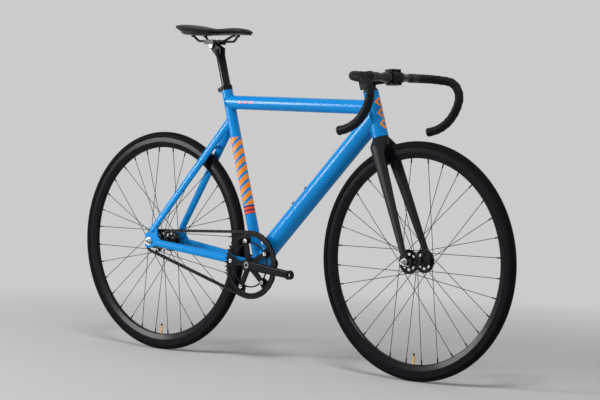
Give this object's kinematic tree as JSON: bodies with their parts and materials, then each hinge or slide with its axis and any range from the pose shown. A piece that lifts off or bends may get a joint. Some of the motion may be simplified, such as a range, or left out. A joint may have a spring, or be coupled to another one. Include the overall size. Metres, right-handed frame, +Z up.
{
  "type": "fixed gear bicycle",
  "caption": "Single-speed fixed gear bicycle with a thick-tubed blue frame, straight-bladed dark fork, drop handlebar and deep black rims, driven straight from crank to rear wheel",
  "frame": {"origin": "on the ground midway between the two wheel axles, in the middle plane of the bicycle", "axes": "+X forward, +Y to the rider's left, +Z up; the drive side is on -Y"},
  "size_m": [1.6513, 0.432, 0.9976],
  "materials": {
    "frame_paint": "gloss blue paint over aluminium tube",
    "fork_paint": "satin dark grey paint",
    "black_alloy": "black anodised, satin to gloss",
    "bright_steel": "plated, bright",
    "dark_steel": "blackened",
    "tyre_rubber": "matte black, slick tread",
    "tube_rubber": "matte black",
    "black_plastic": "moulded, fine grain",
    "saddle_skin": "smooth black cover",
    "bar_wrap": "cushioned wrapped tape, matte black"
  },
  "bodies": {
    "frame": {"head_tube": "frame_paint", "seat_tube": "frame_paint", "top_tube": "frame_paint", "down_tube": "frame_paint", "bottom_bracket_shell": "frame_paint", "bottom_bracket_cartridge": "black_alloy", "chainstays": "frame_paint", "seatstays": "frame_paint", "rear_dropouts": "frame_paint", "stay_bridges": "frame_paint", "seat_clamp": "black_alloy", "frame_bolts": "dark_steel", "headset_bearings": "bright_steel", "chain": "dark_steel", "rear_axle": "bright_steel", "rear_axle_nuts": "bright_steel"},
    "crankset": {"right_crank": "black_alloy", "left_crank": "black_alloy", "chainring": "black_alloy", "chainring_bolts": "bright_steel", "crank_bolts": "bright_steel", "bottom_bracket_spindle": "bright_steel"},
    "rear_wheel": {"rear_tyre": "tyre_rubber", "rear_inner_tube": "tube_rubber", "rear_rim": "black_alloy", "rear_spokes": "dark_steel", "rear_spoke_nipples": "dark_steel", "rear_hub": "black_alloy", "rear_hub_bearings": "bright_steel", "rear_cog": "dark_steel", "cog_lockring": "dark_steel"},
    "seatpost": {"seatpost": "black_alloy"},
    "saddle_clamp": {"saddle_clamp": "black_alloy", "saddle_clamp_bolts": "bright_steel"},
    "saddle": {"saddle_cover": "saddle_skin", "saddle_shell": "black_plastic", "saddle_rails": "dark_steel"},
    "steering": {"fork_crown": "fork_paint", "fork_tips": "fork_paint", "right_fork_blade": "fork_paint", "left_fork_blade": "fork_paint", "steerer_tube": "bright_steel", "steerer_cap": "black_alloy", "headset_cover": "black_alloy", "stem": "black_alloy", "stem_faceplate": "black_alloy", "stem_bolts": "dark_steel", "front_axle": "bright_steel", "front_axle_nuts": "bright_steel"},
    "front_wheel": {"front_tyre": "tyre_rubber", "front_inner_tube": "tube_rubber", "front_rim": "black_alloy", "front_spokes": "dark_steel", "front_spoke_nipples": "dark_steel", "front_hub": "black_alloy", "front_hub_bearings": "bright_steel"},
    "handlebar": {"handlebar": "black_alloy", "right_bar_tape": "bar_wrap", "left_bar_tape": "bar_wrap", "bar_end_plugs": "black_plastic"}
  },
  "joints": [
    {"name": "steering", "type": "hinge", "parent": "frame", "child": "steering", "pos_m": [0.34954, 0, 0.67631], "axis": [-0.3007, 0, 0.9537], "range_deg": [-90, 90]},
    {"name": "handlebar_roll", "type": "hinge", "parent": "steering", "child": "handlebar", "pos_m": [0.38927, 0, 0.84574], "axis": [0, 1, 0], "range_deg": [-10, 10]},
    {"name": "front_wheel_spin", "type": "hinge", "parent": "steering", "child": "front_wheel", "pos_m": [0.49071, 0, 0.335], "axis": [0, 1, 0], "continuous": true},
    {"name": "rear_wheel_spin", "type": "hinge", "parent": "frame", "child": "rear_wheel", "pos_m": [-0.49071, 0, 0.335], "axis": [0, 1, 0], "continuous": true, "deforming": ["chain"]},
    {"name": "crank_spin", "type": "hinge", "parent": "frame", "child": "crankset", "pos_m": [-0.09229, 0, 0.288], "axis": [0, 1, 0], "continuous": true, "deforming": ["chain"]},
    {"name": "seatpost_height", "type": "slide", "parent": "frame", "child": "seatpost", "axis": [-0.2807, 0, 0.9598], "range_m": [-0.08, 0.06]},
    {"name": "saddle_tilt", "type": "hinge", "parent": "seatpost", "child": "saddle_clamp", "pos_m": [-0.29758, 0, 0.93301], "axis": [0, 1, 0], "range_deg": [-12, 12]},
    {"name": "saddle_slide", "type": "slide", "parent": "saddle_clamp", "child": "saddle", "axis": [1, 0, 0], "range_m": [-0.03, 0.015]}
  ],
  "couplings": [
    {"joint": "crank_spin", "follows": "rear_wheel_spin", "ratio": 0.33333}
  ]
}
